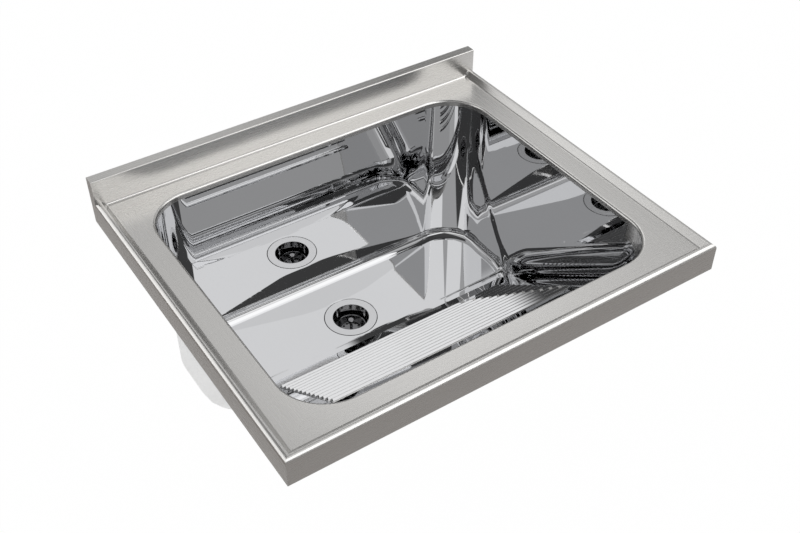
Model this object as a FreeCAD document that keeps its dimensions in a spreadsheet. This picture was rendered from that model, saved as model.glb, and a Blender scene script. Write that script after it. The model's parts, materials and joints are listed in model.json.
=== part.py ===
"""Sit-on stainless steel laundry sink with a pressed washboard and a basket strainer waste.

Millimetres. X runs to the right, Y to the wall behind the sink, Z up. The origin is the middle of the
plan, on the plane where the folded edge rests on its cabinet.
"""
import FreeCAD, Part
import math
import os
import Sketcher

SIZES = [
    # the folded top sheet
    ("sheet", 1.0), ("overall_width", 700.0), ("overall_depth", 600.0), ("rim_height", 45.0),
    ("deck_drop", 9.5), ("bead_top", 9.0), ("bead_slope", 8.0), ("bead_round", 6.5), ("bead_ease", 1.2),
    ("foot_round", 3.0),
    ("return_flange", 12.0), ("upstand_thick", 18.0), ("upstand_rise", 38.0), ("upstand_round", 1.8),
    ("upstand_cove", 4.0),
    # the bowl
    ("side_ledge", 54.5), ("bowl_length", 495.0), ("bowl_back_gap", 54.5), ("bowl_corner", 72.0),
    ("bowl_depth", 297.0), ("lip_round", 4.5), ("lip_depth", 10.0), ("lip_land", 6.0),
    ("trough_length", 194.0), ("trough_corner", 60.0), ("floor_round", 16.0), ("riser_height", 37.0),
    ("front_drop", 38.5), ("board_round", 40.0), ("collar_depth", 26.5),
    # the washboard panel and its ribs
    ("board_side_margin", 10.5), ("board_low_margin", 12.0), ("board_high_margin", 30.0), ("rib_count", 13),
    ("rib_pitch", 16.4), ("rib_first", 63.5), ("rib_end_margin", 32.0), ("rib_height", 2.6),
    ("rib_radius", 9.5),
    # the basket strainer waste
    ("drain_set_back", 104.0), ("flange_radius", 45.0), ("flange_thick", 1.5), ("flange_gap", 0.8),
    ("seal_thick", 1.5), ("cup_radius", 31.5), ("cup_wall", 1.5), ("cup_depth", 40.0), ("hole_gap", 1.0),
    ("seat_radius", 24.0), ("seat_depth", 34.0), ("spigot_radius", 23.9), ("spigot_wall", 3.0),
    ("spigot_length", 26.0), ("cross_width", 4.0), ("cross_thick", 4.0), ("boss_radius", 6.0),
    ("under_seal_thick", 3.0), ("under_seal_width", 10.5), ("friction_thick", 1.0), ("lock_nut_height", 10.0),
    ("lock_nut_width", 9.0), ("lug_count", 8), ("lug_reach", 3.0), ("lug_width", 8.0), ("thread_gap", 0.1),
    ("tail_radius", 20.0), ("tail_wall", 1.6), ("tail_length", 70.0), ("tail_flange", 2.0),
    ("tail_neck", 0.3), ("tail_step", 1.0),
    ("tail_seal_thick", 2.0), ("coupling_engage", 14.0), ("coupling_wall", 4.0), ("coupling_lip", 3.0),
    # the lift-out basket
    ("basket_gap", 6.0), ("basket_wall", 0.8), ("basket_height", 11.0), ("basket_floor_radius", 19.5),
    ("basket_hole", 2.2), ("basket_hole_ring", 15.0), ("basket_hole_count", 12), ("post_radius", 2.5),
    ("post_tail", 24.0), ("post_gap", 0.3), ("knob_radius", 5.4), ("knob_height", 9.0), ("knob_top", 6.0),
    ("knob_neck", 3.6), ("stopper_thick", 4.0), ("stopper_lap", 1.6), ("seat_gap", 0.2),
    # swivel fixing brackets under the deck
    ("stud_inset", 32.0), ("stud_reach", 150.0), ("stud_radius", 3.0), ("stud_length", 21.0),
    ("collar_radius", 6.5), ("collar_height", 6.0), ("bracket_thick", 2.0), ("bracket_width", 20.0),
    ("bracket_arm", 14.0), ("bracket_tail", 9.0), ("bracket_leg", 75.0), ("bracket_hole", 2.5),
    ("bracket_hole_drop", 25.0), ("swivel_gap", 0.3), ("washer_radius", 6.25), ("washer_thick", 1.2),
    ("nut_flats", 10.0), ("nut_height", 5.0), ("stack_gap", 0.1),
    # earth terminal and sound deadening pads
    ("tag_inset", 100.0), ("tag_width", 20.0), ("tag_reach", 22.0), ("tag_foot", 16.0), ("tag_thick", 1.5),
    ("tag_height", 20.0), ("tag_screw_radius", 2.5), ("tag_screw_gap", 0.1), ("tag_screw_length", 16.0),
    ("tag_head_radius", 4.5), ("tag_head_height", 3.0), ("tag_nut_flats", 8.0), ("tag_nut_height", 4.0),
    ("pad_thick", 3.0), ("pad_width", 300.0), ("pad_back_height", 120.0), ("pad_back_drop", 60.0),
    ("pad_board_length", 200.0), ("pad_board_start", 60.0), ("glue_gap", 0.05),
]

doc = FreeCAD.newDocument("laundry_sink")
dims = doc.addObject("Spreadsheet::Sheet", "dims")
for row, (name, number) in enumerate(SIZES, 1):
    dims.set("A%d" % row, name)
    dims.set("B%d" % row, str(number))
    dims.setAlias("B%d" % row, name)
doc.recompute()

# Places worked out from the sizes, as expressions on the sheet
HALF_WIDTH = "(dims.overall_width / 2)"
HALF_DEPTH = "(dims.overall_depth / 2)"
DECK = "(dims.rim_height - dims.deck_drop)"
DECK_UNDER = "(%s - dims.sheet)" % DECK
UPSTAND_TOP = "(dims.rim_height + dims.upstand_rise)"
UPSTAND_FRONT = "(%s - dims.upstand_thick)" % HALF_DEPTH
BOWL_X = "(dims.overall_width / 2 - dims.side_ledge)"
BOWL_BACK = "(%s - dims.bowl_back_gap)" % HALF_DEPTH
BOWL_FRONT = "(%s - dims.bowl_length)" % BOWL_BACK
JOIN = "(%s - dims.lip_depth)" % DECK
FLOOR = "(%s - dims.bowl_depth)" % DECK
RISER_Y = "(%s - dims.trough_length)" % BOWL_BACK
RISER_TOP = "(%s + dims.riser_height)" % FLOOR
BOARD_TOP = "(%s - dims.front_drop)" % DECK
BOARD_RUN = "(%s - %s)" % (RISER_Y, BOWL_FRONT)
BOARD_RISE = "(%s - %s)" % (BOARD_TOP, RISER_TOP)
BOARD_ANGLE = "atan(%s / %s)" % (BOARD_RISE, BOARD_RUN)
BOARD_LENGTH = "sqrt(%s * %s + %s * %s)" % (BOARD_RUN, BOARD_RUN, BOARD_RISE, BOARD_RISE)
BOARD_WIDTH = "(2 * (%s - dims.board_round - dims.board_side_margin))" % BOWL_X
RIB_LENGTH = "(%s - 2 * dims.rib_end_margin)" % BOARD_WIDTH
DRAIN_Y = "(%s - dims.drain_set_back)" % BOWL_BACK
BEAD_ANGLE = "atan(dims.deck_drop / dims.bead_slope)"
CLEAR = 20.0
FACE_TOLERANCE = 0.01
FACE_LEAN = 0.1
FULL_TURN = 360.0

parts = []


def size(expression):
    """The present number of an expression on the sheet."""
    result = dims.evalExpression(expression)
    return float(getattr(result, "Value", result))


def keep(obj, label):
    """Names an object as a sub-part that is written out."""
    obj.Label = label
    parts.append(obj)
    return obj


def place(obj, x="0", y="0", z="0", axis=(0, 0, 1), angle="0"):
    """Binds an object's Placement to expressions."""
    obj.Placement = FreeCAD.Placement(FreeCAD.Vector(), FreeCAD.Rotation(FreeCAD.Vector(*axis), size(angle)))
    for letter, expression in (("x", x), ("y", y), ("z", z)):
        obj.setExpression("Placement.Base." + letter, expression)
    if angle != "0":
        obj.setExpression("Placement.Rotation.Angle", angle)
    return obj


def new_body(name):
    return doc.addObject("PartDesign::Body", name)


def origin_feature(body, role):
    return [f for f in body.Origin.OriginFeatures if f.Role == role][0]


def new_sketch(body, plane, x="0", y="0", z="0"):
    """A sketch on one of the body's own origin planes, shifted in the plane's own frame."""
    sketch = body.newObject("Sketcher::SketchObject", "sketch")
    sketch.AttachmentSupport = [(origin_feature(body, plane), "")]
    sketch.MapMode = "FlatFace"
    for letter, expression in (("x", x), ("y", y), ("z", z)):
        if expression != "0":
            sketch.setExpression("AttachmentOffset.Base." + letter, expression)
    return sketch


def bind(sketch, constraint, expression):
    index = sketch.addConstraint(constraint)
    sketch.setExpression("Constraints[%d]" % index, expression)


def pin_point(sketch, geometry, end, x, y):
    """Ties a point of the sketch to two expressions, measured from the sketch's origin."""
    bind(sketch, Sketcher.Constraint("DistanceX", -1, 1, geometry, end, size(x)), x)
    bind(sketch, Sketcher.Constraint("DistanceY", -1, 1, geometry, end, size(y)), y)


def polygon(sketch, points):
    """A closed outline of straight lines through points given as expressions."""
    spots = [FreeCAD.Vector(size(x), size(y), 0) for x, y in points]
    count = len(spots)
    lines = [sketch.addGeometry(Part.LineSegment(spots[i], spots[(i + 1) % count])) for i in range(count)]
    for i in range(count):
        sketch.addConstraint(Sketcher.Constraint("Coincident", lines[i], 2, lines[(i + 1) % count], 1))
    for line, (x, y) in zip(lines, points):
        pin_point(sketch, line, 1, x, y)
    return sketch


def rounded_box(sketch, left, right, front, back, front_round=None, back_round=None):
    """A rectangle whose front and back corners may be rounded; it runs counter-clockwise."""
    corners = [
        (left, front, front_round), (right, front, front_round),
        (right, back, back_round), (left, back, back_round),
    ]
    spots = [FreeCAD.Vector(size(x), size(y), 0) for x, y, rounding in corners]
    rounds = [size(rounding) if rounding else 0.0 for x, y, rounding in corners]
    lines = []
    for i in range(4):
        start, end = spots[i], spots[(i + 1) % 4]
        along = (end - start).normalize()
        side = Part.LineSegment(start + along * rounds[i], end - along * rounds[(i + 1) % 4])
        lines.append(sketch.addGeometry(side))
    for i in range(4):
        before, after = lines[i - 1], lines[i]
        if not rounds[i]:
            sketch.addConstraint(Sketcher.Constraint("Coincident", before, 2, after, 1))
            continue
        into = (spots[i] - spots[i - 1]).normalize()
        out = (spots[(i + 1) % 4] - spots[i]).normalize()
        centre = spots[i] + (out - into) * rounds[i]
        first = math.atan2(-out.y, -out.x)
        circle = Part.Circle(centre, FreeCAD.Vector(0, 0, 1), rounds[i])
        arc = sketch.addGeometry(Part.ArcOfCircle(circle, first, first + math.pi / 2))
        sketch.addConstraint(Sketcher.Constraint("Tangent", before, 2, arc, 1))
        sketch.addConstraint(Sketcher.Constraint("Tangent", arc, 2, after, 1))
        bind(sketch, Sketcher.Constraint("Radius", arc, rounds[i]), corners[i][2])
    for line, kind, spot in zip(lines, ("Horizontal", "Vertical") * 2, (front, right, back, left)):
        sketch.addConstraint(Sketcher.Constraint(kind, line))
        axis = "DistanceY" if kind == "Horizontal" else "DistanceX"
        bind(sketch, Sketcher.Constraint(axis, -1, 1, line, 1, size(spot)), spot)
    return sketch


def disc(sketch, radius, x="0", y="0"):
    circle = Part.Circle(FreeCAD.Vector(size(x), size(y), 0), FreeCAD.Vector(0, 0, 1), size(radius))
    geometry = sketch.addGeometry(circle)
    bind(sketch, Sketcher.Constraint("Radius", geometry, size(radius)), radius)
    pin_point(sketch, geometry, 3, x, y)
    return sketch


def pad(body, sketch, length, both_ways=False):
    feature = body.newObject("PartDesign::Pad", "pad")
    feature.Profile = sketch
    if both_ways:
        feature.SideType = "Symmetric"
    feature.setExpression("Length", length)
    doc.recompute()
    return feature


def pocket(body, sketch, length, both_ways=False, taper=None, upward=False):
    """Cuts the sketch's outline from the body; it has to remove something."""
    before = body.Shape.Volume
    feature = body.newObject("PartDesign::Pocket", "pocket")
    feature.Profile = sketch
    feature.Reversed = upward
    if both_ways:
        feature.SideType = "Symmetric"
    feature.setExpression("Length", length)
    if taper:
        feature.setExpression("TaperAngle", taper)
    doc.recompute()
    if feature.Shape.Volume > before - FACE_TOLERANCE:
        raise RuntimeError("a pocket in %s cuts nothing" % body.Name)
    return feature


def turn(body, sketch, kind="Revolution", axis="V_Axis"):
    feature = body.newObject("PartDesign::" + kind, kind.lower())
    feature.Profile = sketch
    feature.ReferenceAxis = (sketch, [axis])
    feature.Angle = FULL_TURN
    doc.recompute()
    return feature


def round_edges(body, chosen, radius):
    """Rounds the edges of the body's last feature that a test picks out."""
    base = body.Tip
    names = ["Edge%d" % i for i, edge in enumerate(base.Shape.Edges, 1) if chosen(edge)]
    if not names:
        raise RuntimeError("no edge to round in " + body.Name)
    feature = body.newObject("PartDesign::Fillet", "fillet")
    feature.Base = (base, names)
    feature.setExpression("Radius", radius)
    doc.recompute()
    return feature


def row_of(body, feature, axis_role, length, count, reverse=False):
    """Repeats a feature along one of the body's axes."""
    pattern = body.newObject("PartDesign::LinearPattern", "row")
    pattern.Originals = [feature]
    pattern.Direction = (origin_feature(body, axis_role), [""])
    pattern.Reversed = reverse
    pattern.setExpression("Length", length)
    pattern.setExpression("Occurrences", count)
    body.Tip = pattern
    doc.recompute()
    return pattern


def ring_of(body, feature, count):
    """Repeats a feature round the body's Z axis."""
    pattern = body.newObject("PartDesign::PolarPattern", "ring")
    pattern.Originals = [feature]
    pattern.Axis = (origin_feature(body, "Z_Axis"), [""])
    pattern.Angle = FULL_TURN
    pattern.setExpression("Occurrences", count)
    body.Tip = pattern
    doc.recompute()
    return pattern


def turned(name, points):
    """A solid of revolution about Z from a closed outline of (radius, height) points."""
    body = new_body(name)
    turn(body, polygon(new_sketch(body, "XZ_Plane"), points))
    return body


def block(name, low, high):
    """A box between two corners given as expressions."""
    box = doc.addObject("Part::Box", name)
    for prop, letter, start, end in zip(("Length", "Width", "Height"), "xyz", low, high):
        box.setExpression(prop, "%s - (%s)" % (end, start))
        box.setExpression("Placement.Base." + letter, start)
    doc.recompute()
    return box


def cylinder(name, radius, height, x="0", y="0", z="0"):
    rod = doc.addObject("Part::Cylinder", name)
    rod.setExpression("Radius", radius)
    rod.setExpression("Height", height)
    place(rod, x, y, z)
    doc.recompute()
    return rod


def combine(kind, name, base, tool):
    """A boolean of two objects: Cut, Fuse or Common."""
    result = doc.addObject("Part::" + kind, name)
    result.Base = base
    result.Tool = tool
    result.Refine = True
    doc.recompute()
    return result


def group(name, members):
    """Several separate solids in one node."""
    compound = doc.addObject("Part::Compound", name)
    compound.Links = members
    doc.recompute()
    return keep(compound, name)


def near(number, expression):
    return abs(number - size(expression)) < FACE_TOLERANCE


def level(edge, expression):
    """True if an edge lies wholly at one height."""
    box = edge.BoundBox
    return near(box.ZMin, expression) and near(box.ZMax, expression)


# The folded top sheet: deck, drip bead, aprons, return flange and upstand


def top_form(name, inset, base):
    """The block that the sheet wraps, set in by the sheet's thickness for its hollow inside."""
    half_x = "(%s - %s)" % (HALF_WIDTH, inset)
    half_y = "(%s - %s)" % (HALF_DEPTH, inset)
    top = "(dims.rim_height - %s)" % inset
    deck = "(%s - %s)" % (DECK, inset)
    bead = "(dims.bead_top - %s * tan(%s / 2))" % (inset, BEAD_ANGLE)
    behind = "(%s + %s)" % (UPSTAND_FRONT, inset)
    body = new_body(name)
    rim = rounded_box(new_sketch(body, "XY_Plane", z=base), "-" + half_x, half_x, "-" + half_y, half_y)
    pad(body, rim, "%s - %s" % (top, base))
    bead_x = "(%s - %s)" % (HALF_WIDTH, bead)
    bead_y = "(%s - %s)" % (HALF_DEPTH, bead)
    beyond = "(%s + dims.overall_depth)" % HALF_DEPTH
    recess = rounded_box(new_sketch(body, "XY_Plane", z=top), "-" + bead_x, bead_x, "-" + bead_y, beyond)
    pocket(body, recess, "dims.deck_drop", taper="-atan(dims.bead_slope / dims.deck_drop)")
    if inset == "0":
        ease_x = "(%s - dims.bead_top + dims.bead_ease)" % HALF_WIDTH
        ease_y = "(%s - dims.bead_top + dims.bead_ease)" % HALF_DEPTH
        ease = rounded_box(new_sketch(body, "XY_Plane", z=top), "-" + ease_x, ease_x, "-" + ease_y, beyond)
        pocket(body, ease, "dims.bead_ease / 2", taper="-atan(4)")
    wall = rounded_box(new_sketch(body, "XY_Plane", z=base), "-" + half_x, half_x, behind, half_y)
    pad(body, wall, "%s - %s - %s" % (UPSTAND_TOP, inset, base))

    def outer_rim(edge):
        box = edge.BoundBox
        on_side = near(box.XMin, "-" + half_x) and near(box.XMax, "-" + half_x)
        on_side = on_side or (near(box.XMin, half_x) and near(box.XMax, half_x))
        on_front = near(box.YMin, "-" + half_y) and near(box.YMax, "-" + half_y)
        return level(edge, top) and (on_side or on_front)

    def deck_foot(edge):
        return level(edge, deck) and edge.BoundBox.YMin < size(behind) - CLEAR

    def deck_back(edge):
        return level(edge, deck) and near(edge.BoundBox.YMin, behind) and near(edge.BoundBox.YMax, behind)

    def upstand_edge(edge):
        return level(edge, "%s - %s" % (UPSTAND_TOP, inset)) and edge.BoundBox.XLength > 2 * CLEAR

    round_edges(body, deck_back, "dims.upstand_cove + %s" % inset)
    if inset == "0":
        round_edges(body, deck_foot, "dims.foot_round")
    round_edges(body, outer_rim, "dims.bead_round - %s" % inset)
    round_edges(body, upstand_edge, "dims.upstand_round - %s" % inset)
    return body


def lip_ring():
    """The cut-out's turned edge: a flat land, a rounded lip and a short collar down to the bowl."""
    body = new_body("lip_ring")

    def ring(z, grow, height):
        outline = new_sketch(body, "XY_Plane", z=z)
        rounded_box(
            outline, "-(%s + %s)" % (BOWL_X, grow), "%s + %s" % (BOWL_X, grow),
            "%s - %s" % (BOWL_FRONT, grow),
            "%s + %s" % (BOWL_BACK, grow), "dims.bowl_corner + %s" % grow, "dims.bowl_corner + %s" % grow,
        )
        rounded_box(
            outline, "-" + BOWL_X, BOWL_X, BOWL_FRONT, BOWL_BACK, "dims.bowl_corner", "dims.bowl_corner",
        )
        pad(body, outline, height)

    ring(JOIN, "dims.sheet", "dims.lip_depth")
    ring(DECK_UNDER, "(dims.lip_round + dims.lip_land)", "dims.sheet")

    def inside(edge, grow):
        """True if an edge lies on or within the bowl's outline, grown outwards."""
        box = edge.BoundBox
        reach = size("%s + %s" % (BOWL_X, grow)) + FACE_TOLERANCE
        front = size("%s - %s" % (BOWL_FRONT, grow)) - FACE_TOLERANCE
        back = size("%s + %s" % (BOWL_BACK, grow)) + FACE_TOLERANCE
        return box.XMin > -reach and box.XMax < reach and box.YMin > front and box.YMax < back

    round_edges(
        body, lambda edge: level(edge, DECK_UNDER) and inside(edge, "dims.sheet"),
        "dims.lip_round - dims.sheet",
    )
    round_edges(body, lambda edge: level(edge, DECK) and inside(edge, "0"), "dims.lip_round")
    return body


def plan_prism(name, grow, low, high):
    """The bowl's plan outline, grown outwards, between two heights."""
    body = new_body(name)
    outline = rounded_box(
        new_sketch(body, "XY_Plane", z=low), "-(%s + %s)" % (BOWL_X, grow), "%s + %s" % (BOWL_X, grow),
        "%s - %s" % (BOWL_FRONT, grow), "%s + %s" % (BOWL_BACK, grow), "dims.bowl_corner + %s" % grow,
        "dims.bowl_corner + %s" % grow,
    )
    pad(body, outline, "%s - %s" % (high, low))
    return body


def build_top_sheet():
    outside = top_form("top_outside", "0", "0")
    inside = top_form("top_inside", "dims.sheet", "dims.sheet")
    folded = combine("Cut", "folded_sheet", outside, inside)
    flange_x = "(%s - dims.return_flange)" % HALF_WIDTH
    flange_y = "(%s - dims.return_flange)" % HALF_DEPTH
    mouth = block(
        "seat_mouth", ("-" + flange_x, "-" + flange_y, "-%s" % CLEAR), (flange_x, flange_y, "dims.sheet"),
    )
    flanged = combine("Cut", "flanged_sheet", folded, mouth)
    fold = block(
        "upstand_ends",
        ("-(%s + %s)" % (HALF_WIDTH, CLEAR), "%s + dims.sheet" % UPSTAND_FRONT, "dims.rim_height"),
        ("%s + %s" % (HALF_WIDTH, CLEAR), "%s - dims.sheet" % HALF_DEPTH,
         "%s - dims.upstand_round" % UPSTAND_TOP),
    )
    open_ended = combine("Cut", "open_sheet", flanged, fold)
    hole = plan_prism("deck_hole", "(dims.lip_round + dims.lip_land)", JOIN, "dims.rim_height")
    holed = combine("Cut", "holed_sheet", open_ended, hole)
    keep(combine("Fuse", "deck_sheet", holed, lip_ring()), "deck_sheet")


def build_upstand_ends():
    """Small plates welded into the open ends of the upstand's fold."""
    for side, start, end in (
        ("left", "-" + HALF_WIDTH, "-%s + dims.sheet" % HALF_WIDTH),
        ("right", "%s - dims.sheet" % HALF_WIDTH, HALF_WIDTH),
    ):
        plate = block(
            "end_" + side, (start, "%s + dims.sheet" % UPSTAND_FRONT, "dims.rim_height"),
            (end, "%s - dims.sheet" % HALF_DEPTH, "%s - dims.upstand_round" % UPSTAND_TOP),
        )
        keep(plate, "upstand_end_" + side)


# The bowl: a trough with the drain, and a washboard that slopes down to it from the front


def trough_form(name, grow, top):
    """The rear trough, from the floor to the joint under the lip, with a coved floor."""
    low = "(%s - %s)" % (FLOOR, grow)
    body = new_body(name)
    outline = rounded_box(
        new_sketch(body, "XY_Plane", z=low), "-(%s + %s)" % (BOWL_X, grow), "%s + %s" % (BOWL_X, grow),
        "%s - %s" % (RISER_Y, grow), "%s + %s" % (BOWL_BACK, grow), "dims.trough_corner + %s" % grow,
        "dims.bowl_corner + %s" % grow,
    )
    pad(body, outline, "%s - %s" % (top, low))
    round_edges(body, lambda edge: level(edge, low), "dims.floor_round + %s" % grow)
    return body


def board_form(name, grow, top):
    """The front of the bowl above the washboard's plane, with a wide cove along its foot."""
    back = "(%s + dims.trough_corner)" % RISER_Y
    front = "(%s - %s)" % (BOWL_FRONT, grow)
    low = "(%s - %s)" % (FLOOR, grow)
    base = "(%s - dims.bowl_depth / 2)" % low
    reach = "(%s + %s)" % (BOWL_X, grow)
    body = new_body(name)
    outline = rounded_box(
        new_sketch(body, "XY_Plane", z=base), "-" + reach, reach, front, back, "dims.bowl_corner + %s" % grow,
    )
    pad(body, outline, "%s - %s" % (top, base))
    drop = "%s / cos(%s)" % (grow, BOARD_ANGLE)
    first, last = "(%s - %s)" % (front, CLEAR), "(%s + %s)" % (back, CLEAR)

    def slope_at(y):
        return "%s + (%s - %s) * %s / %s - %s" % (RISER_TOP, RISER_Y, y, BOARD_RISE, BOARD_RUN, drop)

    under = "%s - dims.bowl_depth" % FLOOR
    wedge = polygon(
        new_sketch(body, "YZ_Plane"),
        [(first, slope_at(first)), (first, under), (last, under), (last, slope_at(last))],
    )
    pocket(body, wedge, "2 * dims.overall_width", both_ways=True)

    def leans(face):
        normal = face.normalAt(0, 0)
        return abs(normal.y) > FACE_LEAN and abs(normal.z) > FACE_LEAN

    slope = [face for face in body.Tip.Shape.Faces if leans(face)][0]

    def foot(edge):
        on_slope = any(edge.isSame(other) for other in slope.Edges)
        return on_slope and not near(edge.BoundBox.YMin, back)

    round_edges(body, foot, "dims.board_round + %s" % grow)
    above_floor = block(
        name + "_space", ("-(%s + %s)" % (reach, CLEAR), first, low),
        ("%s + %s" % (reach, CLEAR), last, "%s + %s" % (top, CLEAR)),
    )
    return combine("Common", name + "_trimmed", body, above_floor)


def bowl_form(name, grow, top):
    """Trough and washboard slope together, with the drawn recess round the drain."""
    trough, board = trough_form(name + "_trough", grow, top), board_form(name + "_board", grow, top)
    union = combine("Fuse", name + "_union", trough, board)
    sink_in = "(dims.seal_thick + dims.flange_thick)"
    recess = cylinder(
        name + "_recess", "dims.flange_radius + dims.flange_gap + %s" % grow, sink_in + " + dims.floor_round",
        y=DRAIN_Y, z="%s - %s - %s" % (FLOOR, sink_in, grow),
    )
    return combine("Fuse", name, union, recess)


def board_plate(name, low, high, start, end, width=BOARD_WIDTH):
    """A plate in the washboard's own frame: its top face is the slope, its Y runs down the slope."""
    body = new_body(name)
    outline = rounded_box(
        new_sketch(body, "XY_Plane", z=low), "-(%s / 2)" % width, "%s / 2" % width,
        "-(%s)" % end, "-(%s)" % start,
    )
    pad(body, outline, "%s - (%s)" % (high, low))
    place(body, y=RISER_Y, z=RISER_TOP, axis=(1, 0, 0), angle="-" + BOARD_ANGLE)
    return body


BOARD_END = "(%s - dims.board_high_margin)" % BOARD_LENGTH


def build_bowl():
    above = "(%s + %s)" % (JOIN, CLEAR)
    outside, inside = bowl_form("bowl_outside", "dims.sheet", JOIN), bowl_form("bowl_inside", "0", above)
    shell = combine("Cut", "bowl_raw", outside, inside)
    hole = cylinder(
        "drain_hole", "dims.cup_radius + dims.cup_wall + dims.hole_gap", "4 * dims.floor_round", y=DRAIN_Y,
        z="%s - 2 * dims.floor_round" % FLOOR,
    )
    holed = combine("Cut", "bowl_holed", shell, hole)
    reach = "(%s + %s)" % (BOWL_X, CLEAR)
    band = (
        ("-" + reach, "%s - %s" % (BOWL_FRONT, CLEAR), "%s - dims.collar_depth" % JOIN),
        (reach, "%s + dims.bowl_corner" % BOWL_FRONT, above),
    )
    keep(combine("Common", "front_collar", holed, block("collar_band", *band)), "front_collar")
    trimmed = combine("Cut", "bowl_trimmed", holed, block("collar_gap", *band))
    window = board_plate("board_window", "-2 * dims.sheet", "dims.sheet", "dims.board_low_margin", BOARD_END)
    keep(combine("Cut", "bowl_shell", trimmed, window), "bowl_shell")


def rib_sketch(body, radius):
    """Half the outline of a round-ended bar on the sketch's horizontal axis."""
    axis_height = "(dims.rib_height - dims.rib_radius)"
    half = "(%s / 2 - sqrt(dims.rib_height * (2 * dims.rib_radius - dims.rib_height)))" % RIB_LENGTH
    sketch = new_sketch(body, "XY_Plane", y="-dims.rib_first", z=axis_height)
    reach, span = size(radius), size(half)
    up = FreeCAD.Vector(0, 0, 1)
    axis = sketch.addGeometry(
        Part.LineSegment(FreeCAD.Vector(-span - reach, 0, 0), FreeCAD.Vector(span + reach, 0, 0))
    )
    right = sketch.addGeometry(
        Part.ArcOfCircle(Part.Circle(FreeCAD.Vector(span, 0, 0), up, reach), 0, math.pi / 2)
    )
    crest = sketch.addGeometry(
        Part.LineSegment(FreeCAD.Vector(span, reach, 0), FreeCAD.Vector(-span, reach, 0))
    )
    left = sketch.addGeometry(
        Part.ArcOfCircle(Part.Circle(FreeCAD.Vector(-span, 0, 0), up, reach), math.pi / 2, math.pi)
    )
    for first, end, second, start in ((axis, 2, right, 1), (left, 2, axis, 1)):
        sketch.addConstraint(Sketcher.Constraint("Coincident", first, end, second, start))
    sketch.addConstraint(Sketcher.Constraint("Tangent", right, 2, crest, 1))
    sketch.addConstraint(Sketcher.Constraint("Tangent", crest, 2, left, 1))
    pin_point(sketch, right, 3, half, "0")
    pin_point(sketch, left, 3, "-" + half, "0")
    bind(sketch, Sketcher.Constraint("Radius", right, reach), radius)
    sketch.addConstraint(Sketcher.Constraint("Horizontal", axis))
    return sketch


def build_washboard():
    """The ribbed panel: round-ended ribs pressed up from below, open underneath."""
    body = board_plate("washboard_panel", "-dims.sheet", "0", "dims.board_low_margin", BOARD_END)
    span = "(dims.rib_count - 1) * dims.rib_pitch"
    ribs = turn(body, rib_sketch(body, "dims.rib_radius"), axis="H_Axis")
    row_of(body, ribs, "Y_Axis", span, "dims.rib_count", reverse=True)
    under = rounded_box(
        new_sketch(body, "XY_Plane", z="-dims.sheet"), "-" + BOARD_WIDTH, BOARD_WIDTH,
        "-dims.bowl_length", "0",
    )
    pocket(body, under, "3 * dims.rib_radius")
    hollow = turn(body, rib_sketch(body, "(dims.rib_radius - dims.sheet)"), kind="Groove", axis="H_Axis")
    row_of(body, hollow, "Y_Axis", span, "dims.rib_count", reverse=True)
    keep(body, "washboard")


# The basket strainer waste, all round one upright axis


def round_part(label, points, z=FLOOR):
    body = turned(label + "_body", points)
    place(body, y=DRAIN_Y, z=z)
    return body


CUP_OUT = "(dims.cup_radius + dims.cup_wall)"
SPIGOT_IN = "(dims.spigot_radius - dims.spigot_wall)"
CUP_FLOOR = "(-dims.cup_depth)"
SPIGOT_END = "(-dims.cup_depth - dims.spigot_length)"
RECESS_UNDER = "(-(dims.seal_thick + dims.flange_thick) - dims.sheet)"


def build_waste_body():
    """Flange, cup with a coned seat, outlet spigot and the cross that guides the basket's post."""
    body = round_part("waste", [
        ("dims.cup_radius", "0"), ("dims.flange_radius", "0"), ("dims.flange_radius", "-dims.flange_thick"),
        (CUP_OUT, "-dims.flange_thick"), (CUP_OUT, CUP_FLOOR), ("dims.spigot_radius", CUP_FLOOR),
        ("dims.spigot_radius", SPIGOT_END), (SPIGOT_IN, SPIGOT_END), (SPIGOT_IN, "-dims.seat_depth"),
        ("dims.seat_radius", "-dims.seat_depth"), ("dims.cup_radius", "-dims.seat_depth + dims.cup_wall * 4"),
    ])
    low = "%s + dims.cup_wall" % CUP_FLOOR
    arms = new_sketch(body, "XY_Plane", z=low)
    rounded_box(arms, "-(%s + dims.spigot_wall / 2)" % SPIGOT_IN, "%s + dims.spigot_wall / 2" % SPIGOT_IN,
                "-dims.cross_width / 2", "dims.cross_width / 2")
    arm = pad(body, arms, "dims.cross_thick")
    ring = body.newObject("PartDesign::PolarPattern", "arms")
    ring.Originals = [arm]
    ring.Axis = (origin_feature(body, "Z_Axis"), [""])
    ring.Angle = FULL_TURN / 2
    ring.Occurrences = 2
    body.Tip = ring
    doc.recompute()
    pad(body, disc(new_sketch(body, "XY_Plane", z=low), "dims.boss_radius"), "dims.cross_thick")
    bore = disc(new_sketch(body, "XY_Plane", z="0"), "dims.post_radius + dims.post_gap")
    pocket(body, bore, "dims.cup_depth + dims.spigot_length")
    keep(body, "waste_body")


def build_seals():
    def washer(label, inner, outer, top, thick):
        keep(round_part(label, [
            (inner, top), (outer, top), (outer, "%s - %s" % (top, thick)), (inner, "%s - %s" % (top, thick)),
        ]), label)

    clear = "(%s + dims.thread_gap)" % CUP_OUT
    washer("flange_seal", clear, "dims.flange_radius", "-dims.flange_thick", "dims.seal_thick")
    rim = "(%s + dims.under_seal_width)" % clear
    washer("under_seal", clear, rim, RECESS_UNDER, "dims.under_seal_thick")
    second = "(%s - dims.under_seal_thick)" % RECESS_UNDER
    washer("friction_ring", clear, rim, second, "dims.friction_thick")
    washer("tail_seal", SPIGOT_IN, "dims.tail_radius + dims.tail_wall", SPIGOT_END, "dims.tail_seal_thick")


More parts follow.
